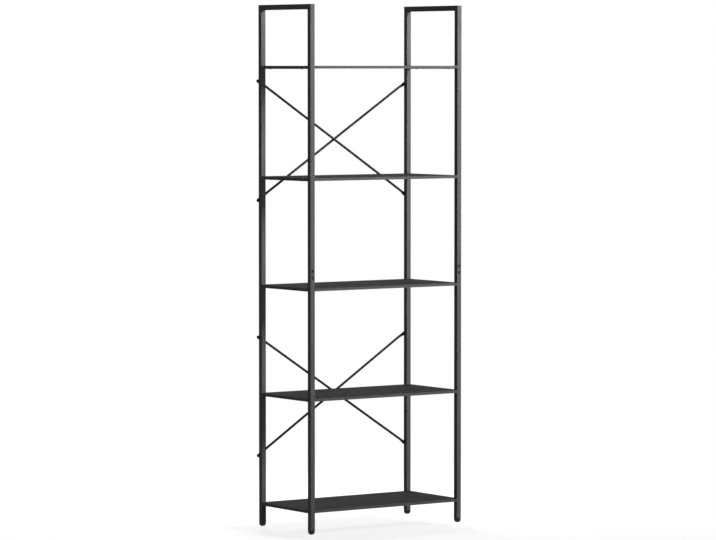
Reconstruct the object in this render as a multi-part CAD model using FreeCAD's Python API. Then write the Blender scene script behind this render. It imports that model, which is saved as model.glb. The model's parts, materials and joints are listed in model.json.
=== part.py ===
import FreeCAD, Part
import math
import os

# A free-standing bookcase. Two side frames of square steel tube carry five notched boards on
# welded angle rails, and two crossed pairs of rods brace the back. Each post is spliced above the
# middle shelf, and each stands on a levelling foot.
# Millimetres. X runs to the right, Y to the back and Z up. The origin is on the floor, in the
# middle of the posts' footprint.

# Overall sizes, over the posts
overall_width = 600.0
overall_depth = 300.0
bottom_shelf_top = 78.0
shelf_spacings = [359.0, 354.0, 353.0, 359.0]
guard_height = 197.0

# Square tube of the posts and top bars
tube_side = 17.0
tube_wall = 1.0
tube_corner = 1.0
tube_end_break = 0.4
smallest_corner = 0.3

# Post joint: a sleeve inside the tubes and a screw through each
spliced_shelf = 3
splice_above_shelf = 45.0
sleeve_length = 80.0
sleeve_wall = 1.5
sleeve_clearance = 0.2
sleeve_corner = 1.5
splice_screw_from_seam = 11.0

# Machine screw used at the post joints and the braces
screw_diameter = 5.0
screw_clearance = 0.25
thread_clearance = 0.05
screw_head_diameter = 9.5
screw_head_height = 2.7
screw_socket_flats = 3.0
screw_socket_depth = 1.6
socket_rim = 0.4
splice_screw_length = 7.0

# Shelf rail: an angle whose upright leg covers the board's end
rail_thickness = 1.2
rail_leg_width = 15.0
rail_bend = 1.8

# Shelf board and its edge bands
board_thickness = 9.0
board_clearance = 0.3
band_thickness = 0.8
band_rounding = 0.6

# Board screw, driven up through the rail
board_screw_diameter = 3.5
board_screw_length = 7.6
board_screw_head_diameter = 8.0
board_screw_head_height = 1.0
board_screw_socket_flats = 2.0
board_screw_socket_depth = 0.9
board_screw_hole_spare = 0.3
board_screw_from_end = 43.0
board_screw_from_side = 8.0

# Brace rods: round rod with flattened, slotted ends set to one side, so that two alike can cross
rod_diameter = 8.0
upper_brace_middle = 1259.5
lower_brace_middle = 424.5
brace_rise = 376.0
tab_width = 10.5
tab_thickness = 3.0
tab_past_bolt = 16.5
tab_clear_of_post = 0.5
tab_taper = 14.0
taper_inset = 0.15
taper_squareness = 0.8
slot_length = 12.0
crossing_gap = 0.3
brace_to_board = 0.75

# Brace bolt, its washer and its rivet nut
bolt_length = 13.0
washer_diameter = 10.0
washer_thickness = 1.0
nut_barrel_diameter = 7.0
nut_collar_diameter = 9.6
nut_collar_thickness = 2.0
nut_length = 9.0

# Levelling foot and the plug that it screws into
pad_diameter = 22.5
pad_height = 12.0
pad_rim_height = 3.0
pad_rim_rounding = 0.6
pad_flat_diameter = 10.0
stud_diameter = 6.0
stud_in_pad = 7.0
stud_length = 38.0
stud_chamfer = 0.6
plug_length = 20.0
plug_flange = 1.5
plug_clearance = 0.1

# Derived places
Vector = FreeCAD.Vector
UP = Vector(0, 0, 1)
sides = {"left": -1, "right": 1}
rows = {"front": -1, "rear": 1}
corners = [(side, row) for side in sides for row in rows]

shelf_tops = [bottom_shelf_top]
for spacing in shelf_spacings:
    shelf_tops.append(shelf_tops[-1] + spacing)
overall_height = shelf_tops[-1] + guard_height

half_width = overall_width / 2
half_depth = overall_depth / 2
post_x = half_width - tube_side / 2
post_y = half_depth - tube_side / 2
post_bottom = pad_height + plug_flange
seam_height = shelf_tops[spliced_shelf - 1] + splice_above_shelf
tube_bore = tube_side - 2 * tube_wall
bore_corner = max(tube_corner - tube_wall, smallest_corner)

brace_span = 2 * post_x
brace_length = math.hypot(brace_span, brace_rise)
brace_slope = math.degrees(math.atan2(brace_rise, brace_span))
flat_behind_post = tube_side / 2 * brace_length / brace_span + tab_width / 2 * brace_rise / brace_span
tab_before_bolt = flat_behind_post + tab_clear_of_post
tab_middle_y = half_depth + tab_thickness / 2
rod_to_tab = (rod_diameter + crossing_gap) / 2
brace_middles = {"upper": upper_brace_middle, "lower": lower_brace_middle}
rod_in_front_of_posts = max(rod_diameter / 2 + rod_to_tab - tab_thickness / 2, 0.0)
board_rear_inset = rod_in_front_of_posts + brace_to_board


def arc_points(centre, radius, start, sweep):
    """The first, middle and last point of an arc on the XY plane, with its angles in degrees."""
    angles = [math.radians(start + share * sweep) for share in (0, 0.5, 1)]
    return [centre + Vector(radius * math.cos(angle), radius * math.sin(angle), 0) for angle in angles]


def outline_through(arcs):
    """A closed outline of arcs, each given by three points, joined by straight edges."""
    edges = []
    for arc, following in zip(arcs, arcs[1:] + arcs[:1]):
        edges.append(Part.Arc(*arc).toShape())
        edges.append(Part.LineSegment(arc[2], following[0]).toShape())
    return Part.Wire(edges)


def rounded_rectangle(width, depth, radius):
    """A closed outline on the XY plane, centred, with its four corners as arcs."""
    x = width / 2 - radius
    y = depth / 2 - radius
    turns = [Vector(x, y, 0), Vector(-x, y, 0), Vector(-x, -y, 0), Vector(x, -y, 0)]
    return outline_through([arc_points(turn, radius, 90 * i, 90) for i, turn in enumerate(turns)])


def obround(length, width):
    """A closed outline on the XY plane, centred, with half-round ends along X."""
    reach = Vector((length - width) / 2, 0, 0)
    return outline_through([arc_points(reach, width / 2, -90, 180), arc_points(-reach, width / 2, 90, 180)])


def prism(outline, length):
    """A solid pushed up from a closed outline on the XY plane."""
    return Part.Face(outline).extrude(Vector(0, 0, length))


def square_tube(length, broken_ends=()):
    """A length of the frame's tube from the XY plane up, with the outer edges of the named ends broken."""
    outer = prism(rounded_rectangle(tube_side, tube_side, tube_corner), length)
    for end in broken_ends:
        level = [edge for edge in outer.Edges if edge.BoundBox.ZLength < tube_wall]
        rim = [edge for edge in level if abs(edge.BoundBox.ZMax - end) < tube_wall / 2]
        outer = outer.makeChamfer(tube_end_break, rim)
    bore = prism(rounded_rectangle(tube_bore, tube_bore, bore_corner), length)
    return outer.cut(bore)


def polygon_prism(points, direction):
    """A solid pushed out from a flat polygon along a vector."""
    return Part.Face(Part.makePolygon(points + points[:1])).extrude(direction)


def turned(profile):
    """A solid of revolution about Z from edges of a closed half outline on the XZ plane."""
    return Part.Face(Part.Wire(profile)).revolve(Vector(), UP, 360)


def polyline(points):
    """Straight edges through points, in order."""
    return [Part.LineSegment(a, b).toShape() for a, b in zip(points, points[1:])]


def placed(shape, point, direction):
    """A copy of a shape made along +Z, moved to a point and turned to face a direction."""
    copy = shape.copy()
    copy.Placement = FreeCAD.Placement(point, FreeCAD.Rotation(UP, direction))
    return copy


def round_hole(point, direction, radius, depth):
    """A cutter that runs from a point along a direction."""
    return Part.makeCylinder(radius, depth, point, direction)


def domed_screw(diameter, length, head_diameter, head_height, socket_flats, socket_depth):
    """A screw along Z with its head's seat at the origin, its domed head up and a hexagon socket."""
    shank = diameter / 2
    head = head_diameter / 2
    socket_corner = socket_flats / math.sqrt(3)
    crown = socket_corner + socket_rim
    dome_centre = (crown ** 2 + head_height ** 2 - head ** 2) / (2 * head_height)
    dome_radius = math.hypot(head, dome_centre)
    seat_angle = math.atan2(-dome_centre, head)
    crown_angle = math.atan2(head_height - dome_centre, crown)
    middle_angle = (seat_angle + crown_angle) / 2
    seat_edge = Vector(head, 0, 0)
    crown_edge = Vector(crown, 0, head_height)
    bulge_height = dome_centre + dome_radius * math.sin(middle_angle)
    bulge = Vector(dome_radius * math.cos(middle_angle), 0, bulge_height)
    profile = polyline([Vector(0, 0, head_height), Vector(0, 0, -length), Vector(shank, 0, -length),
                        Vector(shank, 0, 0), seat_edge])
    profile.append(Part.Arc(seat_edge, bulge, crown_edge).toShape())
    profile += polyline([crown_edge, Vector(0, 0, head_height)])
    floor = Vector(0, 0, head_height - socket_depth)
    hexagon = [arc_points(floor, socket_corner, 60 * i, 0)[0] for i in range(6)]
    return turned(profile).cut(polygon_prism(hexagon, Vector(0, 0, 2 * socket_depth)))


def ring(outer_diameter, inner_diameter, thickness):
    """A flat ring on the XY plane."""
    outer = Part.makeCylinder(outer_diameter / 2, thickness)
    return outer.cut(Part.makeCylinder(inner_diameter / 2, thickness))


def splice_screw_heights():
    """The heights of the two screws at each post joint, lower first."""
    return [seam_height - splice_screw_from_seam, seam_height + splice_screw_from_seam]


def brace_bolt_heights():
    """The heights of all brace bolts on one rear post."""
    return [middle + end * brace_rise / 2 for middle in brace_middles.values() for end in (-1, 1)]


def mitre_cutter(row, keep_post):
    """The corner to take off a post's top or a top bar's end, along the line between them."""
    outer = rows[row] * half_depth
    inner = rows[row] * (half_depth - tube_side)
    spare = rows[row] * tube_side
    top = overall_height
    low = overall_height - tube_side
    ends = [(outer + spare, top + tube_side), (inner - spare, low - tube_side)]
    tip = (inner - spare, top + tube_side) if keep_post else (outer + spare, low - tube_side)
    points = [Vector(-tube_side, y, z) for y, z in ends + [tip]]
    return polygon_prism(points, Vector(2 * tube_side, 0, 0))


def post(side, row, bottom, top, screw_height, mitred):
    """One length of post, with its splice hole and, at the back, its holes for rivet nuts."""
    outward = Vector(0, rows[row], 0)
    face_y = rows[row] * half_depth
    x = sides[side] * post_x
    length = top - bottom
    tube = square_tube(length, [0] if mitred else [0, length])
    tube.translate(Vector(x, rows[row] * post_y, bottom))
    holes = [round_hole(Vector(x, face_y, screw_height), -outward,
                        screw_diameter / 2 + screw_clearance, tube_side / 2)]
    if row == "rear":
        for height in brace_bolt_heights():
            if bottom < height < top:
                holes.append(round_hole(Vector(x, face_y, height), -outward,
                                        nut_barrel_diameter / 2 + thread_clearance, tube_side / 2))
    if mitred:
        cutter = mitre_cutter(row, True)
        cutter.translate(Vector(x, 0, 0))
        holes.append(cutter)
    return tube.cut(holes)


def top_bar(side):
    """The tube that joins a side frame's two posts at the top, mitred at both ends."""
    bar = placed(square_tube(overall_depth), Vector(0, -half_depth, 0), Vector(0, 1, 0))
    bar.translate(Vector(0, 0, overall_height - tube_side / 2))
    bar = bar.cut([mitre_cutter(row, False) for row in rows])
    bar.translate(Vector(sides[side] * post_x, 0, 0))
    return bar


def splice_sleeve(side, row):
    """The square tube inside a post joint, with threaded holes for its two screws."""
    outer_side = tube_bore - 2 * sleeve_clearance
    inner_side = outer_side - 2 * sleeve_wall
    outer = prism(rounded_rectangle(outer_side, outer_side, sleeve_corner), sleeve_length)
    inner_corner = max(sleeve_corner - sleeve_wall, smallest_corner)
    sleeve = outer.cut(prism(rounded_rectangle(inner_side, inner_side, inner_corner), sleeve_length))
    middle = Vector(sides[side] * post_x, rows[row] * post_y, 0)
    sleeve.translate(middle + Vector(0, 0, seam_height - sleeve_length / 2))
    holes = [round_hole(middle + Vector(0, 0, height), Vector(0, rows[row], 0),
                        screw_diameter / 2 + thread_clearance, tube_side)
             for height in splice_screw_heights()]
    return sleeve.cut(holes)


def splice_screws():
    """The screws at all four post joints, on the front of the front posts and the back of the rear."""
    screw = domed_screw(screw_diameter, splice_screw_length, screw_head_diameter, screw_head_height,
                        screw_socket_flats, screw_socket_depth)
    solids = []
    for side, row in corners:
        for height in splice_screw_heights():
            seat = Vector(sides[side] * post_x, rows[row] * half_depth, height)
            solids.append(placed(screw, seat, Vector(0, rows[row], 0)))
    return Part.makeCompound(solids)


def board_screw_places(shelf_top):
    """Where the four board screws of a shelf seat, on the underside of its rails."""
    seat_z = shelf_top - board_thickness - rail_thickness
    x = half_width - board_screw_from_side
    y = half_depth - tube_side - board_screw_from_end
    return [Vector(sides[side] * x, rows[row] * y, seat_z) for side, row in corners]


def shelf_rail(side, shelf_top):
    """An angle between the two posts of a side: one leg outside the board's end, one below it."""
    low = shelf_top - board_thickness - rail_thickness
    start = -(half_depth - tube_side)
    out = half_width
    leg_in = out - rail_leg_width
    bend_middle = rail_bend * (1 - math.sqrt(0.5))
    bend = [Vector(out - rail_bend, start, low), Vector(out - bend_middle, start, low + bend_middle),
            Vector(out, start, low + rail_bend)]
    profile = [Part.Arc(*bend).toShape()]
    profile += polyline([bend[2], Vector(out, start, shelf_top),
                         Vector(out - rail_thickness, start, shelf_top),
                         Vector(out - rail_thickness, start, low + rail_thickness),
                         Vector(leg_in, start, low + rail_thickness), Vector(leg_in, start, low), bend[0]])
    rail = Part.Face(Part.Wire(profile)).extrude(Vector(0, -2 * start, 0))
    if sides[side] < 0:
        rail.rotate(Vector(), UP, 180)
    holes = [round_hole(place, UP, board_screw_diameter / 2 + screw_clearance, rail_thickness)
             for place in board_screw_places(shelf_top) if place.x * sides[side] > 0]
    return rail.cut(holes)


def shelf_board(shelf_top):
    """A board with its corners notched round the posts and blind holes for its screws."""
    end_x = half_width - rail_thickness - board_clearance
    notch_x = half_width - tube_side - board_clearance
    notch_y = half_depth - tube_side - board_clearance
    front_y = -(half_depth - band_thickness)
    rear_y = half_depth - board_rear_inset - band_thickness
    outline = [(-notch_x, front_y), (notch_x, front_y), (notch_x, -notch_y), (end_x, -notch_y),
               (end_x, notch_y), (notch_x, notch_y), (notch_x, rear_y), (-notch_x, rear_y),
               (-notch_x, notch_y), (-end_x, notch_y), (-end_x, -notch_y), (-notch_x, -notch_y)]
    bottom = shelf_top - board_thickness
    points = [Vector(x, y, bottom) for x, y in outline]
    board = polygon_prism(points, Vector(0, 0, board_thickness))
    depth = board_screw_length + board_screw_hole_spare
    holes = [round_hole(place, UP, board_screw_diameter / 2 + thread_clearance, depth)
             for place in board_screw_places(shelf_top)]
    return board.cut(holes)


def edge_bands(row):
    """The strips along one long edge of every board, rounded on their outer edges."""
    notch_x = half_width - tube_side - board_clearance
    face_y = half_depth if row == "front" else half_depth - board_rear_inset
    solids = []
    for shelf_top in shelf_tops:
        band = Part.makeBox(2 * notch_x, band_thickness, board_thickness)
        outer = [edge for edge in band.Edges
                 if edge.BoundBox.XLength > notch_x and edge.BoundBox.YMax < band_thickness / 2]
        band = band.makeFillet(band_rounding, outer)
        band.translate(Vector(-notch_x, -face_y, shelf_top - board_thickness))
        if row == "rear":
            band.rotate(Vector(), UP, 180)
        solids.append(band)
    return Part.makeCompound(solids)


def shelf_screws():
    """The screws that hold every board to its rails, heads down."""
    screw = domed_screw(board_screw_diameter, board_screw_length, board_screw_head_diameter,
                        board_screw_head_height, board_screw_socket_flats, board_screw_socket_depth)
    solids = []
    for shelf_top in shelf_tops:
        solids += [placed(screw, place, -UP) for place in board_screw_places(shelf_top)]
    return Part.makeCompound(solids)


def four_arc_outline(x, middle_y, corner_y, corner_z, crown_y, crown_z):
    """A closed outline across the rod at x, about middle_y, of four arcs that meet at its corners."""
    meets = [(corner_y, corner_z), (-corner_y, corner_z), (-corner_y, -corner_z), (corner_y, -corner_z)]
    crowns = [(0, crown_z), (-crown_y, 0), (0, -crown_z), (crown_y, 0)]
    edges = []
    for i in range(4):
        arc = [Vector(x, middle_y + y, z) for y, z in (meets[i], crowns[i], meets[(i + 1) % 4])]
        edges.append(Part.Arc(*arc).toShape())
    return Part.Wire(edges)


def rod_outline(x):
    """The rod's round section at x."""
    radius = rod_diameter / 2
    corner = radius * math.sqrt(0.5)
    return four_arc_outline(x, 0, corner, corner, radius, radius)


def brace_end():
    """A flattened rod end on the +X side of the rod, set towards +Y: taper, tab and slot."""
    bolt_x = brace_length / 2
    tab_start = bolt_x - tab_before_bolt
    half_width_in = tab_width / 2 - taper_inset
    half_thick_in = tab_thickness / 2 - taper_inset
    flat_end = four_arc_outline(tab_start, rod_to_tab, taper_squareness * half_thick_in,
                                taper_squareness * half_width_in, half_thick_in, half_width_in)
    taper = Part.makeLoft([rod_outline(tab_start - tab_taper), flat_end], True, True)
    square_end = Vector(tab_start, 0, 0)
    round_end = Vector(bolt_x + tab_past_bolt - tab_width / 2, 0, 0)
    side_step = Vector(0, tab_width / 2, 0)
    outline = polyline([round_end + side_step, square_end + side_step, square_end - side_step,
                        round_end - side_step])
    outline.append(Part.Arc(*arc_points(round_end, tab_width / 2, -90, 180)).toShape())
    tab = prism(Part.Wire(outline), tab_thickness)
    slot = prism(obround(slot_length, screw_diameter + 2 * screw_clearance), tab_thickness)
    slot.translate(Vector(bolt_x, 0, 0))
    tab = tab.cut(slot)
    tab.translate(Vector(0, 0, -tab_thickness / 2))
    tab.rotate(Vector(), Vector(1, 0, 0), 90)
    tab.translate(Vector(0, rod_to_tab, 0))
    return taper.fuse(tab)


def brace_rod(level, place):
    """One rod of a crossed pair: the front one falls to the right, the rear one is turned over and rises."""
    half = brace_length / 2 - tab_before_bolt - tab_taper
    rod = Part.makeCylinder(rod_diameter / 2, 2 * half, Vector(-half, 0, 0), Vector(1, 0, 0))
    right_end = brace_end()
    left_end = right_end.mirror(Vector(), Vector(1, 0, 0))
    rod = rod.fuse([right_end, left_end]).removeSplitter()
    rod = rod.Solids[0]
    if place == "rear":
        rod.rotate(Vector(), Vector(1, 0, 0), 180)
    rod.rotate(Vector(), Vector(0, 1, 0), brace_slope if place == "front" else -brace_slope)
    rod_y = tab_middle_y - rod_to_tab if place == "front" else tab_middle_y + rod_to_tab
    rod.translate(Vector(0, rod_y, brace_middles[level]))
    return rod


def brace_fasteners(shape, seat_y):
    """A copy of a fastener made along +Z at every end of every brace, facing back."""
    solids = [placed(shape, Vector(sides[side] * post_x, seat_y, height), Vector(0, 1, 0))
              for side in sides for height in brace_bolt_heights()]
    return Part.makeCompound(solids)


def brace_bolt():
    """The bolt that holds a rod end to a rear post."""
    return domed_screw(screw_diameter, bolt_length, screw_head_diameter, screw_head_height,
                       screw_socket_flats, screw_socket_depth)


def rivet_nut():
    """A threaded barrel set flush in the post's wall, with its crimped collar just inside."""
    bore = screw_diameter + 2 * thread_clearance
    barrel = ring(nut_barrel_diameter, bore, nut_length)
    barrel.translate(Vector(0, 0, -nut_length))
    collar = ring(nut_collar_diameter, bore, nut_collar_thickness)
    collar.translate(Vector(0, 0, -tube_wall - nut_collar_thickness))
    return barrel.fuse(collar).removeSplitter()


def foot_insert(side, row):
    """The plug in a post's lower end, with a rim below the tube and a bore for the stud."""
    plug_side = tube_bore - 2 * plug_clearance
    rim = prism(rounded_rectangle(tube_side, tube_side, tube_corner), plug_flange)
    plug = prism(rounded_rectangle(plug_side, plug_side, bore_corner), plug_length + plug_flange)
    bore = Part.makeCylinder(stud_diameter / 2 + thread_clearance, plug_length + plug_flange)
    insert = rim.fuse(plug).cut(bore).removeSplitter()
    insert.translate(Vector(sides[side] * post_x, rows[row] * post_y, pad_height))
    return insert


def foot_stud(side, row):
    """The stud that carries the pad and screws into the plug."""
    stud = Part.makeCylinder(stud_diameter / 2, stud_length)
    top_rim = [edge for edge in stud.Edges if edge.BoundBox.ZMin > stud_length / 2]
    stud = stud.makeChamfer(stud_chamfer, top_rim)
    stud.translate(Vector(sides[side] * post_x, rows[row] * post_y, pad_height - stud_in_pad))
    return stud


def foot_pad(side, row):
    """The round pad: a short rim and a dome down to a flat that stands on the floor."""
    radius = pad_diameter / 2
    flat = pad_flat_diameter / 2
    dome = pad_height - pad_rim_height
    inset = radius - flat
    dome_radius = (inset ** 2 + dome ** 2) / (2 * inset)
    half_turn = math.asin(min(dome / dome_radius, 1.0)) / 2
    dome_middle = Vector(radius - dome_radius + dome_radius * math.cos(half_turn), 0,
                         dome - dome_radius * math.sin(half_turn))
    flat_edge = Vector(flat, 0, 0)
    rim_low = Vector(radius, 0, dome)
    rim_high = Vector(radius, 0, pad_height - pad_rim_rounding)
    rim_cut = pad_rim_rounding * (1 - math.sqrt(0.5))
    rim_middle = Vector(radius - rim_cut, 0, pad_height - rim_cut)
    top_edge = Vector(radius - pad_rim_rounding, 0, pad_height)
    profile = polyline([Vector(0, 0, pad_height), Vector(), flat_edge])
    profile.append(Part.Arc(flat_edge, dome_middle, rim_low).toShape())
    profile += polyline([rim_low, rim_high])
    profile.append(Part.Arc(rim_high, rim_middle, top_edge).toShape())
    profile += polyline([top_edge, Vector(0, 0, pad_height)])
    socket_floor = Vector(0, 0, pad_height - stud_in_pad)
    socket = round_hole(socket_floor, UP, stud_diameter / 2 + thread_clearance, stud_in_pad)
    pad = turned(profile).cut(socket)
    pad.translate(Vector(sides[side] * post_x, rows[row] * post_y, 0))
    return pad


def bookcase():
    """Every node of the bookcase by name."""
    nodes = {}
    lower_screw, upper_screw = splice_screw_heights()
    for side, row in corners:
        corner = f"{side}_{row}"
        nodes[f"{corner}_lower_post"] = post(side, row, post_bottom, seam_height, lower_screw, False)
        nodes[f"{corner}_upper_post"] = post(side, row, seam_height, overall_height, upper_screw, True)
        nodes[f"{corner}_splice_sleeve"] = splice_sleeve(side, row)
        nodes[f"{corner}_foot_insert"] = foot_insert(side, row)
        nodes[f"{corner}_foot_stud"] = foot_stud(side, row)
        nodes[f"{corner}_foot_pad"] = foot_pad(side, row)
    nodes["splice_screws"] = splice_screws()
    for side in sides:
        nodes[f"{side}_top_bar"] = top_bar(side)
        for number, shelf_top in enumerate(shelf_tops, 1):
            nodes[f"{side}_shelf_rail_{number}"] = shelf_rail(side, shelf_top)
    for number, shelf_top in enumerate(shelf_tops, 1):
        nodes[f"shelf_board_{number}"] = shelf_board(shelf_top)
    for row in rows:
        nodes[f"{row}_edge_bands"] = edge_bands(row)
    nodes["shelf_screws"] = shelf_screws()
    for level in brace_middles:
        for place in rows:
            nodes[f"{level}_brace_{place}"] = brace_rod(level, place)
    nodes["brace_rivet_nuts"] = brace_fasteners(rivet_nut(), half_depth)
    washer = ring(washer_diameter, screw_diameter + 2 * screw_clearance, washer_thickness)
    nodes["brace_washers"] = brace_fasteners(washer, half_depth + tab_thickness)
    nodes["brace_bolts"] = brace_fasteners(brace_bolt(), half_depth + tab_thickness + washer_thickness)
    return nodes


os.makedirs("parts", exist_ok=True)
for node, shape in bookcase().items():
    if not shape.isValid():
        raise ValueError(f"{node} isn't a valid shape")
    shape.exportStep(f"parts/{node}.step")
    print(node, len(shape.Solids), round(sum(solid.Volume for solid in shape.Solids), 1))
print("overall height", overall_height)
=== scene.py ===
# %% [markdown]
# A tall open bookcase in square steel tube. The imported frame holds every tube, rail, board, rod, screw and
# foot at its real size, so this lesson adds what a frame can't hold: the finishes, the weld beads, the
# threads of the feet, a camera and a small studio. Everything is in metres, with X to the right, Y to the
# back and Z up.

# %% Load the frame
import json
import math

import bpy
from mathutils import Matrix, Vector


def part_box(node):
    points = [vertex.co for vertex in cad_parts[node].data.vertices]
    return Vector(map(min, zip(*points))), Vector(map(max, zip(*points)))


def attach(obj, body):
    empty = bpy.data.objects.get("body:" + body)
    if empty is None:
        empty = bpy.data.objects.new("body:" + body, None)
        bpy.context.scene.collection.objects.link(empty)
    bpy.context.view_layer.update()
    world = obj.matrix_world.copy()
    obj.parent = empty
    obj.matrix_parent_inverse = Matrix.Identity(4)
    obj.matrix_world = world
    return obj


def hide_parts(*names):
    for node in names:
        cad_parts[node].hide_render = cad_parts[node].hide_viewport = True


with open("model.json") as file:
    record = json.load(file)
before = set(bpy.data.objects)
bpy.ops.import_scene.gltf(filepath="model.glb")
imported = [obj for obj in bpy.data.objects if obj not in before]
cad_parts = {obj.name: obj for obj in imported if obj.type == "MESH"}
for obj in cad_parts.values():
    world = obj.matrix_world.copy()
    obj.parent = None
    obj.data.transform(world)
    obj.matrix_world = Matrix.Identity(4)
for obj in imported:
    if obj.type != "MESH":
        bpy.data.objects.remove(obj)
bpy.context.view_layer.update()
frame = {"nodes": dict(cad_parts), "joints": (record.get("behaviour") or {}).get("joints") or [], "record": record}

nodes = frame["nodes"]
record = frame["record"]
scene = bpy.context.scene
scene.view_settings.view_transform = "Standard"

# %% [markdown]
# The camera stands far off to the left with a long lens, so the posts look almost parallel. It could look
# level with its sensor shifted down, which keeps uprights exactly upright, but a shift stays with the
# camera when it moves to another view. A tilt of three degrees frames the same picture without one.

# %% Camera
camera_place = Vector((-7.131, -10.149, 1.501))
camera_turn = math.radians(35.057)
camera_tilt = math.radians(3.0715)
camera_lens = 190.78
sensor_width = 36.0

camera_data = bpy.data.cameras.new("camera")
camera_data.sensor_width = sensor_width
camera_data.lens = camera_lens
camera = bpy.data.objects.new("camera", camera_data)
scene.collection.objects.link(camera)
camera.location = camera_place
camera.rotation_euler = (math.radians(90) - camera_tilt, 0, -camera_turn)
scene.camera = camera
print("camera:", camera_lens, "mm lens at", [round(x, 2) for x in camera_place])

# %% [markdown]
# A material is a tree of many small nodes, and so is a shape that Geometry Nodes grow. The nodes could be
# drawn by hand in the editor, but a script can be read, changed and run again. These helpers keep each step
# to one line: one empties a tree to start with, one adds a node and fills its sockets, with a number or
# with another node's output, and one does a sum.

# %% Helpers for nodes
def bare_tree(owner):
    """The emptied node tree of a material or of the world."""
    owner.use_nodes = True
    owner.node_tree.nodes.clear()
    return owner.node_tree


def add_node(tree, kind, sockets=None, **settings):
    """Add a node, set its properties, and fill its input sockets by name or number."""
    node = tree.nodes.new(kind)
    for name, value in settings.items():
        setattr(node, name, value)
    for name, value in (sockets or {}).items():
        if isinstance(value, bpy.types.NodeSocket):
            tree.links.new(value, node.inputs[name])
        else:
            node.inputs[name].default_value = value
    return node


def calculate(tree, operation, *values):
    """The output of a Math node."""
    return add_node(tree, "ShaderNodeMath", dict(enumerate(values)), operation=operation).outputs[0]


print("helpers for nodes ready")

# %% [markdown]
# The bookcase stands before plain white. A white wall under strong lamps could give that, but its light
# would flood the object and wash out the black. Here the surround is white only for the rays that are seen,
# straight, in a reflection or through a clear sheet, and dim for the rays that carry light to the object.

# %% Surround
white = (1.0, 1.0, 1.0, 1.0)
surround_level = 0.11


def seen_rays(tree):
    """1 for camera, glossy and transmission rays, else 0."""
    path = add_node(tree, "ShaderNodeLightPath").outputs
    straight_or_mirrored = calculate(tree, "MAXIMUM", path["Is Camera Ray"], path["Is Glossy Ray"])
    return calculate(tree, "MAXIMUM", straight_or_mirrored, path["Is Transmission Ray"])


def white_surround():
    """A world that is seen as white and lights the object dimly."""
    world = bpy.data.worlds.new("surround")
    tree = bare_tree(world)
    dim = add_node(tree, "ShaderNodeBackground", {"Color": white, "Strength": surround_level}).outputs[0]
    bright = add_node(tree, "ShaderNodeBackground", {"Color": white, "Strength": 1.0}).outputs[0]
    either = add_node(tree, "ShaderNodeMixShader", {0: seen_rays(tree), 1: dim, 2: bright}).outputs[0]
    add_node(tree, "ShaderNodeOutputWorld", {"Surface": either})
    return world


scene.world = white_surround()
print("surround: seen as white, lights at", surround_level)

# %% [markdown]
# The floor is the first surface here, so the helpers that every finish needs come before it: where a point
# lies on its piece, two short sums, a step that eases one range into another, and a blend of two colours.
# Black paint is never quite neutral, so the greys are a touch cool. They could be typed out as colours, but
# a single number is easier to compare with its neighbours.

# %% Helpers for tones
cool_tint = 1.02
# A Mix node repeats its socket names for each kind of data, so those for colours go by number
mix_factor, mix_first_colour, mix_second_colour = 0, 6, 7
mixed_colour = 2


def object_place(tree):
    """Where a point lies on its piece, in metres."""
    return add_node(tree, "ShaderNodeTexCoord").outputs["Object"]


def minus(tree, first, second):
    """The first value less the second."""
    return calculate(tree, "SUBTRACT", first, second)


def times(tree, first, second):
    """The product of two values."""
    return calculate(tree, "MULTIPLY", first, second)


def ease(tree, value, low, high, to_low=0.0, to_high=1.0):
    """The output of a Map Range node that eases a value from one range into another."""
    sockets = {"Value": value, "From Min": low, "From Max": high, "To Min": to_low, "To Max": to_high}
    node = add_node(tree, "ShaderNodeMapRange", sockets, interpolation_type="SMOOTHSTEP")
    return node.outputs["Result"]


def grey(level):
    """A grey that is a touch cool."""
    return (level, level, level * cool_tint, 1.0)


def blend_colours(tree, factor, first, second):
    """The output of a Mix node for colours."""
    sockets = {mix_factor: factor, mix_first_colour: first, mix_second_colour: second}
    return add_node(tree, "ShaderNodeMix", sockets, data_type="RGBA").outputs[mixed_colour]


print("helpers for tones ready, mid grey is", grey(0.5))

# %% [markdown]
# The floor is a round pale sheet that fades out before its rim, so no horizon shows. A shadow catcher could
# keep the shadow, but it needs a compositor to put white behind it. Here the floor is a thin veil over the
# white surround, which takes a soft shadow. It lies a hair below where the feet reach when they are screwed
# right out, so that no foot cuts into it. Rays that only carry light meet a solid, darker floor, so that
# little light comes back up under the shelves. From below the floor isn't seen at all.

# %% Floor
floor_radius = 2.6
floor_steps = 96
floor_gap = 0.0002
foot_travel = max(joint["range_m"][1] for joint in frame["joints"] if joint["type"] == "slide")
floor_height = -foot_travel - floor_gap
shadow_fade_start = 0.55
shadow_fade_end = 2.1
floor_veil = 0.5
floor_tone = 0.8
floor_glow = 0.5
floor_bounce = 0.2


def floor_finish():
    """A pale matt veil that fades out with distance and isn't seen from below."""
    material = bpy.data.materials.new("studio_floor")
    tree = bare_tree(material)
    seen = seen_rays(tree)
    distance = add_node(tree, "ShaderNodeVectorMath", {0: object_place(tree)}, operation="LENGTH")
    near = ease(tree, distance.outputs["Value"], shadow_fade_start, shadow_fade_end, floor_veil, 0.0)
    below = add_node(tree, "ShaderNodeNewGeometry").outputs["Backfacing"]
    veil = times(tree, near, minus(tree, 1.0, below))
    solid = minus(tree, 1.0, seen)
    weight = calculate(tree, "MAXIMUM", veil, solid)
    tone = blend_colours(tree, seen, grey(floor_bounce), grey(floor_tone))
    matt = add_node(tree, "ShaderNodeBsdfDiffuse", {"Color": tone}).outputs[0]
    glow = add_node(tree, "ShaderNodeEmission", {"Strength": times(tree, seen, floor_glow)}).outputs[0]
    sheet = add_node(tree, "ShaderNodeAddShader", {0: matt, 1: glow}).outputs[0]
    clear = add_node(tree, "ShaderNodeBsdfTransparent").outputs[0]
    surface = add_node(tree, "ShaderNodeMixShader", {0: weight, 1: clear, 2: sheet}).outputs[0]
    add_node(tree, "ShaderNodeOutputMaterial", {"Surface": surface})
    return material


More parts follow.
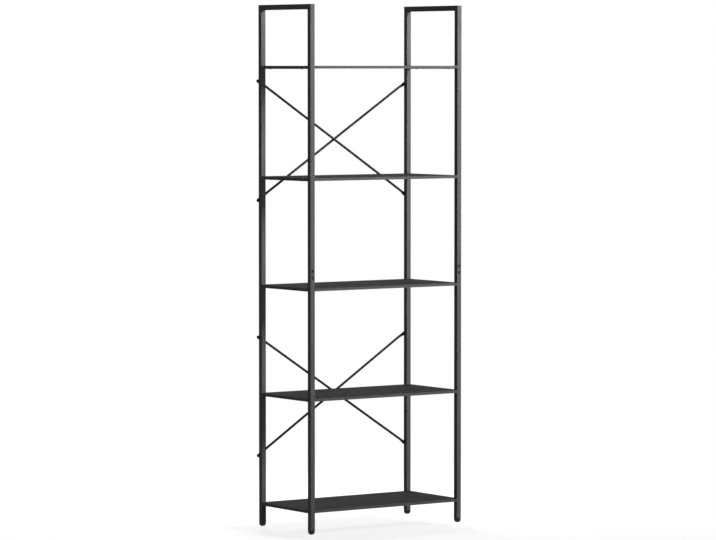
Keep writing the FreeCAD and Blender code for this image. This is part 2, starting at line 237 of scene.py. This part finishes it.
def studio_floor():
    """A round sheet under the bookcase, just below the lowest reach of its feet."""
    turns = [math.tau * step / floor_steps for step in range(floor_steps)]
    rim = [(floor_radius * math.cos(turn), floor_radius * math.sin(turn), floor_height) for turn in turns]
    mesh = bpy.data.meshes.new("studio_floor")
    mesh.from_pydata(rim, [], [list(range(floor_steps))])
    mesh.materials.append(floor_finish())
    floor = bpy.data.objects.new("studio_floor", mesh)
    scene.collection.objects.link(floor)
    return floor


floor = studio_floor()
print("floor:", 2 * floor_radius, "m across, at a height of", round(floor_height, 4), "m")

# %% [markdown]
# A tall soft box stands in front, to the right and high up. It makes the fronts of the posts light at the
# top and darker towards the floor, lets each shelf drop a long soft shadow on the rear posts, and leaves
# faces that look left dark. A low panel in front lifts those shadows a little, and one behind shows the
# back. Spots or suns could light it too, but a broad panel gives the wide, even penumbra of a studio. No
# lamp is mirrored: the gloss of the finishes comes from the white surround, so no hot spot shows.

# %% Lights
key_place = Vector((2.9, -3.7, 4.45))
key_aim = Vector((1.2, 0.0, 3.92))
key_size = (2.2, 4.4)
key_spread = math.radians(74)
key_watts = 253.0
front_place = Vector((1.2, -5.0, 0.7))
front_aim = Vector((0.0, 0.0, 0.85))
front_size = (3.0, 2.0)
front_watts = 60.0
rear_place = Vector((0.9, 2.6, 1.2))
rear_aim = Vector((0.0, 0.0, 0.85))
rear_size = (1.8, 1.6)
rear_watts = 92.0


def soft_box(name, place, aim, size, watts):
    """A rectangular lamp that is neither seen by the camera nor mirrored."""
    data = bpy.data.lights.new(name, "AREA")
    data.shape = "RECTANGLE"
    data.size, data.size_y = size
    data.energy = watts
    lamp = bpy.data.objects.new(name, data)
    scene.collection.objects.link(lamp)
    lamp.location = place
    lamp.rotation_mode = "QUATERNION"
    lamp.rotation_quaternion = (aim - place).to_track_quat("-Z", "Y")
    lamp.visible_camera = False
    lamp.visible_glossy = False
    return lamp


key_box = soft_box("key_soft_box", key_place, key_aim, key_size, key_watts)
key_box.data.spread = key_spread
soft_box("front_soft_box", front_place, front_aim, front_size, front_watts)
soft_box("rear_soft_box", rear_place, rear_aim, rear_size, rear_watts)
print("lights: key", key_watts, "W, front", front_watts, "W, rear", rear_watts, "W")

# %% [markdown]
# Several finishes share an effect, such as worn edges or dust. Each effect could be built again in every
# material, but a node group is built once and placed where it is needed, with its own values for its named
# inputs. These helpers make a group's sockets and its two end nodes.

# %% Helpers for node groups
value_socket = "NodeSocketFloat"
normal_socket = "NodeSocketVector"


def add_sizes(tree, sizes):
    """Give a node group an input socket for each named size."""
    for label, value in sizes.items():
        socket = tree.interface.new_socket(label, in_out="INPUT", socket_type=value_socket)
        socket.default_value = value


def end_sockets(tree):
    """The sockets that bring a group's inputs in, and those that take its outputs."""
    return tree.nodes.new("NodeGroupInput").outputs, tree.nodes.new("NodeGroupOutput").inputs


def shader_group(name, sizes, results):
    """A new shader node group with an input for each size and an output for each result."""
    tree = bpy.data.node_groups.new(name, "ShaderNodeTree")
    add_sizes(tree, sizes)
    for label, kind in results.items():
        tree.interface.new_socket(label, in_out="OUTPUT", socket_type=kind)
    return tree, *end_sockets(tree)


def sockets_of(tree):
    """The names of a group's inputs and outputs, to print."""
    return [item.name for item in tree.interface.items_tree]


print("helpers for node groups ready")

# %% [markdown]
# Sheet steel and boards have no knife edges: a bend, a break or a coat of paint rounds them by a fraction
# of a millimetre. A Bevel modifier could round every part, at the cost of many faces, and the frame's own
# meshes have to stay as they are. So this group asks the Bevel node for a normal that is averaged over a
# small radius. Where it leans away from the face's own normal there is an edge, which gives a mask for
# rubbed paint as well.

# %% Shader group: soft edges
bevel_samples = 6
edge_lean = (0.01, 0.22)


def soft_edges_group():
    """Rounded normals at edges, and a mask of the edges."""
    results = {"Normal": normal_socket, "Edge": value_socket}
    tree, inputs, outputs = shader_group("soft_edges", {"Radius": 0.0006}, results)
    bevel = add_node(tree, "ShaderNodeBevel", {"Radius": inputs["Radius"]}, samples=bevel_samples)
    rounded = bevel.outputs["Normal"]
    face = add_node(tree, "ShaderNodeNewGeometry").outputs["Normal"]
    agree = add_node(tree, "ShaderNodeVectorMath", {0: rounded, 1: face}, operation="DOT_PRODUCT")
    lean = minus(tree, 1.0, agree.outputs["Value"])
    tree.links.new(rounded, outputs["Normal"])
    tree.links.new(ease(tree, lean, *edge_lean), outputs["Edge"])
    return tree


soft_edges = soft_edges_group()
print("group:", soft_edges.name, sockets_of(soft_edges))

# %% [markdown]
# Powder coat and moulded plastic share a skin: a fine pebble, left by melted grains or by the mould, a
# slower orange peel under it, and faint patches that are a little glossier. A photographed texture could
# show them, but it needs every part unwrapped and it repeats. Three noises on Object coordinates keep their
# scale on a long post and on a small foot alike.

# %% Shader group: pebbled skin
pebble_detail, peel_detail, patch_detail = 2.0, 1.0, 4.0
pebble_share = 0.6
patch_range = (0.32, 0.68)


def plus(tree, first, second):
    """The sum of two values."""
    return calculate(tree, "ADD", first, second)


def over(tree, first, second):
    """The first value divided by the second."""
    return calculate(tree, "DIVIDE", first, second)


def noise(tree, place, scale, detail):
    """The grey output of a Noise Texture."""
    sockets = {"Vector": place, "Scale": scale, "Detail": detail}
    return add_node(tree, "ShaderNodeTexNoise", sockets).outputs[0]


def pebbled_skin_group():
    """Height of a pebbled skin, and slow patches for tone and gloss."""
    sizes = {"Pebble Size": 0.0008, "Peel Size": 0.004, "Patch Size": 0.12}
    results = {"Height": value_socket, "Patches": value_socket}
    tree, inputs, outputs = shader_group("pebbled_skin", sizes, results)
    place = object_place(tree)

    def layer(size, detail):
        return noise(tree, place, over(tree, 1.0, inputs[size]), detail)

    pebble = times(tree, layer("Pebble Size", pebble_detail), pebble_share)
    height = plus(tree, pebble, layer("Peel Size", peel_detail))
    patches = ease(tree, layer("Patch Size", patch_detail), *patch_range)
    tree.links.new(height, outputs["Height"])
    tree.links.new(patches, outputs["Patches"])
    return tree


pebbled_skin = pebbled_skin_group()
print("group:", pebbled_skin.name, sockets_of(pebbled_skin))

# %% [markdown]
# A black laminate is printed and pressed like wood. Growth rings cut lengthwise leave a figure of bending
# lines, fine fibres run with them, and short open pores are stamped into the face. A picture of wood could
# be laid on each board, but all five would be the same. Here the lines come from a sine whose phase a slow
# noise bends, and fibres and pores from noise that is stretched along X. Each board lies at another height,
# so it cuts another slice of the pattern and no two boards look alike.

# %% Shader group: pressed grain
bend_detail, fibre_detail, pore_detail = 2.0, 3.0, 1.0
bend_lines = 6.0
fibre_range = (0.3, 0.7)
pore_range = (0.56, 0.66)
figure_share, fibre_share = 0.4, 0.6


def axes_of(tree, vector):
    """The three numbers of a vector, as sockets X, Y and Z."""
    return add_node(tree, "ShaderNodeSeparateXYZ", {0: vector}).outputs


def pressed_grain_group():
    """Tone of the figure and fibres, a mask of the pores, and the height of the pressed face."""
    sizes = {"Figure Length": 0.7, "Figure Width": 0.032, "Fibre Length": 0.16, "Fibre Width": 0.0022,
             "Pore Length": 0.014, "Pore Width": 0.0007}
    results = {"Tone": value_socket, "Pores": value_socket, "Height": value_socket}
    tree, inputs, outputs = shader_group("pressed_grain", sizes, results)
    place = object_place(tree)

    def stretched(length, width, detail):
        along = over(tree, 1.0, length)
        across = over(tree, 1.0, width)
        scale = add_node(tree, "ShaderNodeCombineXYZ", {0: along, 1: across, 2: across}).outputs[0]
        scaled = add_node(tree, "ShaderNodeVectorMath", {0: place, 1: scale}, operation="MULTIPLY")
        return noise(tree, scaled.outputs[0], 1.0, detail)

    line_width = inputs["Figure Width"]
    bend = stretched(inputs["Figure Length"], times(tree, line_width, bend_lines), bend_detail)
    axes = axes_of(tree, place)
    rings = over(tree, plus(tree, axes["Y"], axes["Z"]), line_width)
    bent_rings = plus(tree, rings, times(tree, bend, bend_lines))
    wave = calculate(tree, "SINE", times(tree, bent_rings, math.tau))
    figure = plus(tree, times(tree, wave, 0.5), 0.5)
    fibres = ease(tree, stretched(inputs["Fibre Length"], inputs["Fibre Width"], fibre_detail), *fibre_range)
    pores = ease(tree, stretched(inputs["Pore Length"], inputs["Pore Width"], pore_detail), *pore_range)
    tone = plus(tree, times(tree, figure, figure_share), times(tree, fibres, fibre_share))
    tree.links.new(tone, outputs["Tone"])
    tree.links.new(pores, outputs["Pores"])
    tree.links.new(minus(tree, fibres, pores), outputs["Height"])
    return tree


pressed_grain = pressed_grain_group()
print("group:", pressed_grain.name, sockets_of(pressed_grain))

# %% [markdown]
# Dust settles on what faces up and gathers in drifts. It could be scattered as specks or painted by hand,
# but it is too thin to have a shape, so a mask is enough. The group reads the face's own normal, which
# follows every shelf and bar, and a slow noise breaks it up. Each finish takes as little as it needs.

# %% Shader group: settled dust
drift_detail = 5.0
upward_range = (0.6, 0.95)
drift_range = (0.35, 0.75)


def settled_dust_group():
    """A mask of thin dust on faces that look up."""
    sizes = {"Drift Size": 0.09, "Amount": 0.1}
    tree, inputs, outputs = shader_group("settled_dust", sizes, {"Dust": value_socket})
    drift = noise(tree, object_place(tree), over(tree, 1.0, inputs["Drift Size"]), drift_detail)
    face = add_node(tree, "ShaderNodeNewGeometry").outputs["True Normal"]
    upward = axes_of(tree, face)["Z"]
    lies = times(tree, ease(tree, upward, *upward_range), ease(tree, drift, *drift_range))
    tree.links.new(times(tree, lies, inputs["Amount"]), outputs["Dust"])
    return tree


settled_dust = settled_dust_group()
print("group:", settled_dust.name, sockets_of(settled_dust))

# %% [markdown]
# Each finish is one Principled shader, with the groups feeding what varies: base colour, roughness and
# normal. One large material with switches could serve every part, but separate ones are easier to change.
# What is the same all over, such as how strongly a surface mirrors, is set on the shader itself, where an
# export finds it.

# %% Helpers for finishes
dust_colour = (0.20, 0.195, 0.185, 1.0)
shader_sockets = {"metallic": "Metallic", "mirror": "Specular IOR Level"}


def new_finish(name, **constants):
    """A material with a Principled shader, and the constants set on its sockets."""
    material = bpy.data.materials.new(name)
    tree = bare_tree(material)
    sockets = {shader_sockets[label]: value for label, value in constants.items()}
    shader = add_node(tree, "ShaderNodeBsdfPrincipled", sockets)
    add_node(tree, "ShaderNodeOutputMaterial", {"Surface": shader.outputs[0]})
    return material, tree, shader


def use_group(tree, group, **sizes):
    """The outputs of a shader group placed in a material, with its inputs given by name."""
    sockets = {name.replace("_", " ").title(): value for name, value in sizes.items()}
    return add_node(tree, "ShaderNodeGroup", sockets, node_tree=group).outputs


def between(tree, mask, limits):
    """A value that eases from the first limit to the second as a mask goes from 0 to 1."""
    return ease(tree, mask, 0.0, 1.0, *limits)


def set_surface(tree, shader, colour, roughness, height, depth, normal):
    """Feed the shader's colour, its roughness, and a bump of a real depth over a soft normal."""
    sockets = {"Strength": 1.0, "Distance": depth, "Height": height, "Normal": normal}
    bump = add_node(tree, "ShaderNodeBump", sockets)
    tree.links.new(colour, shader.inputs["Base Color"])
    tree.links.new(roughness, shader.inputs["Roughness"])
    tree.links.new(bump.outputs[0], shader.inputs["Normal"])


print("helpers for finishes ready, dust colour", dust_colour[:3])

# %% [markdown]
# The tubes and rails wear a satin black powder coat: a dark grey rather than a true black, with a fine
# pebble up close, and rubbed a shade lighter and smoother along its edges. One flat grey would do from
# afar, but near by it looks like a drawing. So the pebbled skin gives tone, gloss and bump, soft edges say
# where it is rubbed, and a little dust lies on top.

# %% Finish: powder coat of the frame
coat_greys = (grey(0.100), grey(0.114))
coat_rubbed = grey(0.16)
coat_roughness = (0.56, 0.66)
coat_bump = 0.0002
rub_patches = (0.2, 0.9)
rub_share = (0.15, 0.6)
rub_polish = 0.15


def powder_coat():
    """Satin black powder coat."""
    material, tree, shader = new_finish("frame_powder_coat", mirror=0.05)
    skin = use_group(tree, pebbled_skin)
    edges = use_group(tree, soft_edges, radius=0.0003)
    dust = use_group(tree, settled_dust, amount=0.25)
    coat = blend_colours(tree, skin["Patches"], *coat_greys)
    rubbed = times(tree, edges["Edge"], ease(tree, skin["Patches"], *rub_patches, *rub_share))
    coat = blend_colours(tree, rubbed, coat, coat_rubbed)
    coat = blend_colours(tree, dust["Dust"], coat, dust_colour)
    rough = between(tree, skin["Patches"], coat_roughness)
    rough = minus(tree, rough, times(tree, rubbed, rub_polish))
    set_surface(tree, shader, coat, rough, skin["Height"], coat_bump, edges["Normal"])
    return material


frame_coat = powder_coat()
print("finish:", frame_coat.name)

# %% [markdown]
# The rods are thinner stock with a blacker, smoother coat: an enamel that has flowed out, so it has only a
# slow orange peel and dries a little duller in patches. A darker powder coat could serve, but its pebble is
# too coarse for a thin rod. The same skin with larger sizes and half the depth is smooth enough.

# %% Finish: enamel of the rods
enamel_greys = (grey(0.024), grey(0.034))
enamel_rubbed = grey(0.10)
enamel_rub_share = 0.3
enamel_roughness = (0.42, 0.54)
enamel_bump = 0.0001


def rod_enamel_coat():
    """Smooth black enamel."""
    material, tree, shader = new_finish("rod_black_enamel", mirror=0.12)
    skin = use_group(tree, pebbled_skin, pebble_size=0.0012, peel_size=0.006, patch_size=0.05)
    edges = use_group(tree, soft_edges, radius=0.0003)
    coat = blend_colours(tree, skin["Patches"], *enamel_greys)
    coat = blend_colours(tree, times(tree, edges["Edge"], enamel_rub_share), coat, enamel_rubbed)
    rough = between(tree, skin["Patches"], enamel_roughness)
    set_surface(tree, shader, coat, rough, skin["Height"], enamel_bump, edges["Normal"])
    return material


rod_coat = rod_enamel_coat()
print("finish:", rod_coat.name)

# %% [markdown]
# The boards are panels with a black woodgrain face. Its lines run along the shelf and are close in tone, so
# a board looks black from afar and like wood near by. Pores could be cut into the mesh, but they are less
# than a tenth of a millimetre deep, which a bump shows as well. They are a shade darker than the print.

# %% Finish: laminate of the boards
print_greys = (grey(0.017), grey(0.045))
pore_grey = grey(0.014)
pore_share = 0.6
print_roughness = (0.66, 0.78)
print_bump = 0.00008


def board_laminate():
    """Black woodgrain laminate."""
    material, tree, shader = new_finish("shelf_woodgrain", mirror=0.015)
    grain = use_group(tree, pressed_grain)
    edges = use_group(tree, soft_edges, radius=0.0005)
    dust = use_group(tree, settled_dust, amount=0.06)
    tone = blend_colours(tree, grain["Tone"], *print_greys)
    tone = blend_colours(tree, times(tree, grain["Pores"], pore_share), tone, pore_grey)
    tone = blend_colours(tree, dust["Dust"], tone, dust_colour)
    rough = between(tree, grain["Tone"], print_roughness)
    set_surface(tree, shader, tone, rough, grain["Height"], print_bump, edges["Normal"])
    return material


laminate = board_laminate()
print("finish:", laminate.name)

# %% [markdown]
# The strip along a board's edge is extruded plastic, printed to go with the face. It could wear the face's
# own laminate, but it is lighter than the face, as the frame is, and so narrow that the large figure would
# not show on it. The grain group with finer sizes and paler greys gives both.

# %% Finish: edge band
band_greys = (grey(0.088), grey(0.106))
band_pore_grey = grey(0.045)
band_pore_share = 0.25
band_rubbed = grey(0.14)
band_rub_share = 0.3
band_roughness = (0.56, 0.66)
band_bump = 0.00004


def band_plastic():
    """Matt edge band with a fine printed grain."""
    material, tree, shader = new_finish("edge_band_plastic", mirror=0.08)
    grain = use_group(tree, pressed_grain, figure_length=0.3, figure_width=0.006, fibre_width=0.0012)
    edges = use_group(tree, soft_edges, radius=0.0004)
    tone = blend_colours(tree, grain["Tone"], *band_greys)
    tone = blend_colours(tree, times(tree, grain["Pores"], band_pore_share), tone, band_pore_grey)
    tone = blend_colours(tree, times(tree, edges["Edge"], band_rub_share), tone, band_rubbed)
    rough = between(tree, grain["Tone"], band_roughness)
    set_surface(tree, shader, tone, rough, grain["Height"], band_bump, edges["Normal"])
    return material


band = band_plastic()
print("finish:", band.name)

# %% [markdown]
# Feet and plugs are moulded in black plastic. The mould leaves a fine spark-eroded skin, and the feet are
# scuffed where they meet the floor. Scuffs could be drawn on each foot, but a mask by height marks all four
# at once, and the patches of the skin break it up.

# %% Finish: moulded plastic of the feet
plastic_greys = (grey(0.016), grey(0.024))
plastic_roughness = (0.2, 0.3)
plastic_bump = 0.00003
scuff_height = 0.004
scuff_patches = (0.4, 0.9)
scuff_share = 0.6
scuff_grey = grey(0.09)
scuff_dulling = 0.4


def moulded_plastic():
    """Black moulded plastic, scuffed near the floor."""
    material, tree, shader = new_finish("foot_moulded_plastic", mirror=0.22)
    skin = use_group(tree, pebbled_skin, pebble_size=0.0004, peel_size=0.002, patch_size=0.012)
    edges = use_group(tree, soft_edges, radius=0.0004)
    height = axes_of(tree, object_place(tree))["Z"]
    low = ease(tree, height, 0.0, scuff_height, 1.0, 0.0)
    scuffs = times(tree, low, ease(tree, skin["Patches"], *scuff_patches, 0.0, scuff_share))
    tone = blend_colours(tree, skin["Patches"], *plastic_greys)
    tone = blend_colours(tree, scuffs, tone, scuff_grey)
    rough = between(tree, skin["Patches"], plastic_roughness)
    rough = plus(tree, rough, times(tree, scuffs, scuff_dulling))
    set_surface(tree, shader, tone, rough, skin["Height"], plastic_bump, edges["Normal"])
    return material


plastic = moulded_plastic()
print("finish:", plastic.name)

# %% [markdown]
# Screws, bolts and washers are steel with a black oxide skin, thin enough to let the metal gleam where a
# driver has turned in the socket. A metallic shader could show that gleam, but the oxide hides nearly all
# of the metal, so this is a dark skin with paler edges.

# %% Finish: black oxide of the screws
oxide_greys = (grey(0.020), grey(0.032))
oxide_rubbed = grey(0.16)
oxide_rub_share = 0.35
oxide_roughness = (0.36, 0.5)
oxide_bump = 0.00001


def black_oxide():
    """Oiled black oxide on steel."""
    material, tree, shader = new_finish("screw_black_oxide", mirror=0.12)
    skin = use_group(tree, pebbled_skin, pebble_size=0.0003, peel_size=0.0015, patch_size=0.006)
    edges = use_group(tree, soft_edges, radius=0.0003)
    tone = blend_colours(tree, skin["Patches"], *oxide_greys)
    tone = blend_colours(tree, times(tree, edges["Edge"], oxide_rub_share), tone, oxide_rubbed)
    rough = between(tree, skin["Patches"], oxide_roughness)
    set_surface(tree, shader, tone, rough, skin["Height"], oxide_bump, edges["Normal"])
    return material


oxide = black_oxide()
print("finish:", oxide.name)

# %% [markdown]
# The parts that no one paints, such as the studs of the feet, the rivet nuts and the sleeves, are zinc
# plated: bright, a little cool, with a faint crystalline patchwork in its gloss. A Voronoi texture could
# draw each crystal, but on a stud of six millimetres the skin's soft patches look the same. It is the only
# bare metal here, so it is the only finish whose Metallic is 1.

# %% Finish: zinc plate
zinc_tones = ((0.50, 0.51, 0.53, 1.0), (0.64, 0.65, 0.67, 1.0))
zinc_roughness = (0.26, 0.4)
zinc_bump = 0.00001


def zinc_plate():
    """Bright zinc plate on steel."""
    material, tree, shader = new_finish("stud_zinc_plate", metallic=1.0)
    skin = use_group(tree, pebbled_skin, pebble_size=0.0005, peel_size=0.002, patch_size=0.008)
    edges = use_group(tree, soft_edges, radius=0.0002)
    tone = blend_colours(tree, skin["Patches"], *zinc_tones)
    rough = between(tree, skin["Patches"], zinc_roughness)
    set_surface(tree, shader, tone, rough, skin["Height"], zinc_bump, edges["Normal"])
    return material


zinc = zinc_plate()
print("finish:", zinc.name)

# %% [markdown]
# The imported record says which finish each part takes. The finishes could be handed out part by part, but a
# loop over the record can't miss one. A part's mesh stays as it came: only the material in its slot changes.

# %% Put the finishes on the parts
finish_of_slot = {"frame_paint": frame_coat, "rod_enamel": rod_coat, "shelf_laminate": laminate,
                  "edge_band": band, "foot_plastic": plastic, "screw_black": oxide, "zinc_steel": zinc}
slot_of_node = {part["node"]: part["material_slot"] for part in record["subparts"]}
for name, part in nodes.items():
    part.data.materials.clear()
    part.data.materials.append(finish_of_slot[slot_of_node[name]])
print("finished", len(slot_of_node), "parts in", len(finish_of_slot), "finishes")

# %% [markdown]
# Beads and threads repeat or follow a line, so Geometry Nodes make them: a tree takes a few sizes and grows
# the shape. They could be modelled by hand, but a tree is drawn once and fed other sizes. Its inputs are
# set by identifier before the object is first evaluated, and then the result is kept as a plain mesh.

# %% Helpers for Geometry Nodes
def grower(name, sizes):
    """A new Geometry Nodes tree with inputs for its sizes and its finish, and its end sockets."""
    tree = bpy.data.node_groups.new(name, "GeometryNodeTree")
    tree.interface.new_socket("Geometry", in_out="INPUT", socket_type="NodeSocketGeometry")
    add_sizes(tree, sizes)
    tree.interface.new_socket("Finish", in_out="INPUT", socket_type="NodeSocketMaterial")
    tree.interface.new_socket("Geometry", in_out="OUTPUT", socket_type="NodeSocketGeometry")
    return tree, *end_sockets(tree)


def close_tree(tree, shape, finish, output):
    """End a tree in Realize Instances and Set Material."""
    real = add_node(tree, "GeometryNodeRealizeInstances", {"Geometry": shape}).outputs[0]
    painted = add_node(tree, "GeometryNodeSetMaterial", {"Geometry": real, "Material": finish})
    tree.links.new(painted.outputs[0], output)


def grow(name, tree, lines, **values):
    """A plain mesh object grown by a tree from the points and edges of a mesh."""
    piece = bpy.data.objects.new(name, lines)
    scene.collection.objects.link(piece)
    modifier = piece.modifiers.new("grow", "NODES")
    modifier.node_group = tree
    identifiers = {item.name: item.identifier for item in tree.interface.items_tree}
    for label, value in values.items():
        modifier[identifiers[label.replace("_", " ").title()]] = value
    grown = piece.evaluated_get(bpy.context.evaluated_depsgraph_get())
    mesh = bpy.data.meshes.new_from_object(grown)
    piece.modifiers.remove(modifier)
    piece.data = mesh
    mesh.name = name
    return piece


print("helpers for Geometry Nodes ready")

# %% [markdown]
# Each rail and top bar is welded to its posts from below, where no one looks: a short bead in the corner,
# with a ripple where each drop froze over the last, and ends that taper off. A bump on a plain tube could
# show the ripple, but not in its outline. So the tree sweeps a circle along the weld line and lets its
# radius follow the ripple. Half the bead sinks into the two faces, as a real one does.

# %% Tree: weld bead
weld_radius = 0.0012
bead_sides = 12
taper_share = 0.12
end_width = 0.6
least_fullness = 0.85
added_fullness = 0.3
lumps_a_metre = 300.0
lump_detail = 1.0


def weld_bead_tree():
    """Grow a rippled bead along every edge of a mesh."""
    sizes = {"Radius": weld_radius, "Ripple Length": 0.0014, "Ripple Depth": 0.16, "Sample Length": 0.00018}
    tree, inputs, outputs = grower("weld_bead", sizes)
    line = add_node(tree, "GeometryNodeMeshToCurve", {"Mesh": inputs["Geometry"]}).outputs[0]
    sampling = {"Curve": line, "Length": inputs["Sample Length"]}
    line = add_node(tree, "GeometryNodeResampleCurve", sampling, mode="LENGTH").outputs[0]
    along = add_node(tree, "GeometryNodeSplineParameter").outputs
    wave = over(tree, along["Length"], inputs["Ripple Length"])
    hump = calculate(tree, "ABSOLUTE", calculate(tree, "SINE", times(tree, wave, math.pi)))
    valley = times(tree, minus(tree, 1.0, hump), inputs["Ripple Depth"])
    nearest_end = calculate(tree, "MINIMUM", along["Factor"], minus(tree, 1.0, along["Factor"]))
    taper = ease(tree, nearest_end, 0.0, taper_share, end_width, 1.0)
    place = add_node(tree, "GeometryNodeInputPosition").outputs[0]
    lumps = noise(tree, place, lumps_a_metre, lump_detail)
    fullness = plus(tree, least_fullness, times(tree, lumps, added_fullness))
    swell = times(tree, times(tree, minus(tree, 1.0, valley), taper), fullness)
    ring_sizes = {"Resolution": bead_sides, "Radius": inputs["Radius"]}
    ring = add_node(tree, "GeometryNodeCurvePrimitiveCircle", ring_sizes).outputs["Curve"]
    sweep = {"Curve": line, "Profile Curve": ring, "Scale": swell, "Fill Caps": True}
    bead = add_node(tree, "GeometryNodeCurveToMesh", sweep).outputs[0]
    smooth = add_node(tree, "GeometryNodeSetShadeSmooth", {"Geometry": bead}).outputs[0]
    close_tree(tree, smooth, inputs["Finish"], outputs["Geometry"])
    return tree


weld_bead = weld_bead_tree()
print("tree:", weld_bead.name, sockets_of(weld_bead))

# %% [markdown]
# The weld lines come from the frame: under each rail and top bar, in the corner it makes with the inner
# face of the post in front and of the post behind. They could be typed in as numbers, but lines read from
# the parts' boxes follow the frame if it changes. One mesh of loose edges holds them all, so all the beads
# are one piece, which rides on the frame.

# %% Weld beads
weld_off_face = weld_radius / 2
weld_from_edge = 0.0016


def weld_lines(part, front_post, rear_post):
    """The two bead lines under a part that runs between two posts."""
    low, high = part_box(part)
    faces = (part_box(front_post)[1].y + weld_off_face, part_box(rear_post)[0].y - weld_off_face)
    ends = (low.x + weld_from_edge, high.x - weld_from_edge)
    return [[(x, y, low.z - weld_off_face) for x in ends] for y in faces]


lines = []
for side in ("left", "right"):
    welded = [name for name in nodes if name.startswith(side) and ("rail" in name or "top_bar" in name)]
    for part in sorted(welded):
        lines += weld_lines(part, side + "_front_upper_post", side + "_rear_upper_post")
weld_mesh = bpy.data.meshes.new("weld_lines")
weld_points = [point for line in lines for point in line]
weld_mesh.from_pydata(weld_points, [(2 * i, 2 * i + 1) for i in range(len(lines))], [])
weld_beads = grow("weld_beads", weld_bead, weld_mesh, radius=weld_radius, finish=frame_coat)
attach(weld_beads, "frame")
print("welds:", len(lines), "beads,", len(weld_beads.data.polygons), "faces")

# %% [markdown]
# Each foot turns on an M6 stud, whose thread shows when the foot is screwed down. A coil could be swept and
# cut out of a bar, but that takes a heavy Boolean. Only one thing makes a thread: the radius at a point
# depends on how far the point's angle lags behind its height. So the tree takes a finely divided cylinder
# and sets each point's radius by that rule, with flats at the crest and the root.

# %% Tree: threaded stud
stud_sides = 32
rings_a_turn = 8.0
crest_flat = 1 / 8
root_flat = 1 / 4


def threaded_stud_tree():
    """Grow a right-hand thread with chamfered ends, upright about a point."""
    sizes = {"Diameter": 0.006, "Length": 0.038, "Pitch": 0.001, "Thread Depth": 0.00054,
             "Middle X": 0.0, "Middle Y": 0.0, "Middle Z": 0.0}
    tree, inputs, outputs = grower("threaded_stud", sizes)
    radius = over(tree, inputs["Diameter"], 2.0)
    turns = over(tree, inputs["Length"], inputs["Pitch"])
    rings = times(tree, turns, rings_a_turn)
    bar_sizes = {"Vertices": stud_sides, "Side Segments": rings, "Radius": radius, "Depth": inputs["Length"]}
    bar = add_node(tree, "GeometryNodeMeshCylinder", bar_sizes).outputs
    round_side = {"Geometry": bar["Mesh"], "Selection": bar["Side"]}
    smooth = add_node(tree, "GeometryNodeSetShadeSmooth", round_side).outputs[0]
    place = axes_of(tree, add_node(tree, "GeometryNodeInputPosition").outputs[0])
    angle = over(tree, calculate(tree, "ARCTAN2", place["Y"], place["X"]), math.tau)
    climb = over(tree, place["Z"], inputs["Pitch"])
    lag = calculate(tree, "FRACT", minus(tree, climb, angle))
    from_root = calculate(tree, "ABSOLUTE", minus(tree, times(tree, lag, 2.0), 1.0))
    from_crest = minus(tree, 1.0, from_root)
    flank = {"Value": from_crest, "From Min": crest_flat, "From Max": 1 - root_flat}
    groove = add_node(tree, "ShaderNodeMapRange", flank).outputs["Result"]
    cut = minus(tree, radius, times(tree, groove, inputs["Thread Depth"]))
    root_radius = minus(tree, radius, inputs["Thread Depth"])
    from_end = minus(tree, over(tree, inputs["Length"], 2.0), calculate(tree, "ABSOLUTE", place["Z"]))
    chamfer = plus(tree, from_end, root_radius)
    share = over(tree, calculate(tree, "MINIMUM", cut, chamfer), radius)
    moved = add_node(tree, "ShaderNodeCombineXYZ", {
        "X": plus(tree, times(tree, place["X"], share), inputs["Middle X"]),
        "Y": plus(tree, times(tree, place["Y"], share), inputs["Middle Y"]),
        "Z": plus(tree, place["Z"], inputs["Middle Z"])}).outputs[0]
    thread = add_node(tree, "GeometryNodeSetPosition", {"Geometry": smooth, "Position": moved}).outputs[0]
    close_tree(tree, thread, inputs["Finish"], outputs["Geometry"])
    return tree


threaded_stud = threaded_stud_tree()
print("tree:", threaded_stud.name, sockets_of(threaded_stud))

# %% [markdown]
# A threaded stud takes the place of each plain one in the frame, at the same size. The plain one stays in
# the simulation, where a thread would only cost time. The four could be one mesh moved to four places, but
# a finished piece keeps its place in its mesh, so each is grown where it stands.

# %% Threaded studs
for name in sorted(name for name in nodes if name.endswith("_foot_stud")):
    low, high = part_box(name)
    middle = (low + high) / 2
    stud = grow(name + "_thread", threaded_stud, bpy.data.meshes.new("start"), diameter=high.x - low.x,
                length=high.z - low.z, middle_x=middle.x, middle_y=middle.y, middle_z=middle.z, finish=zinc)
    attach(stud, name.replace("_foot_stud", "_stud"))
    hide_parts(name)
    print("thread:", stud.name, len(stud.data.polygons), "faces")
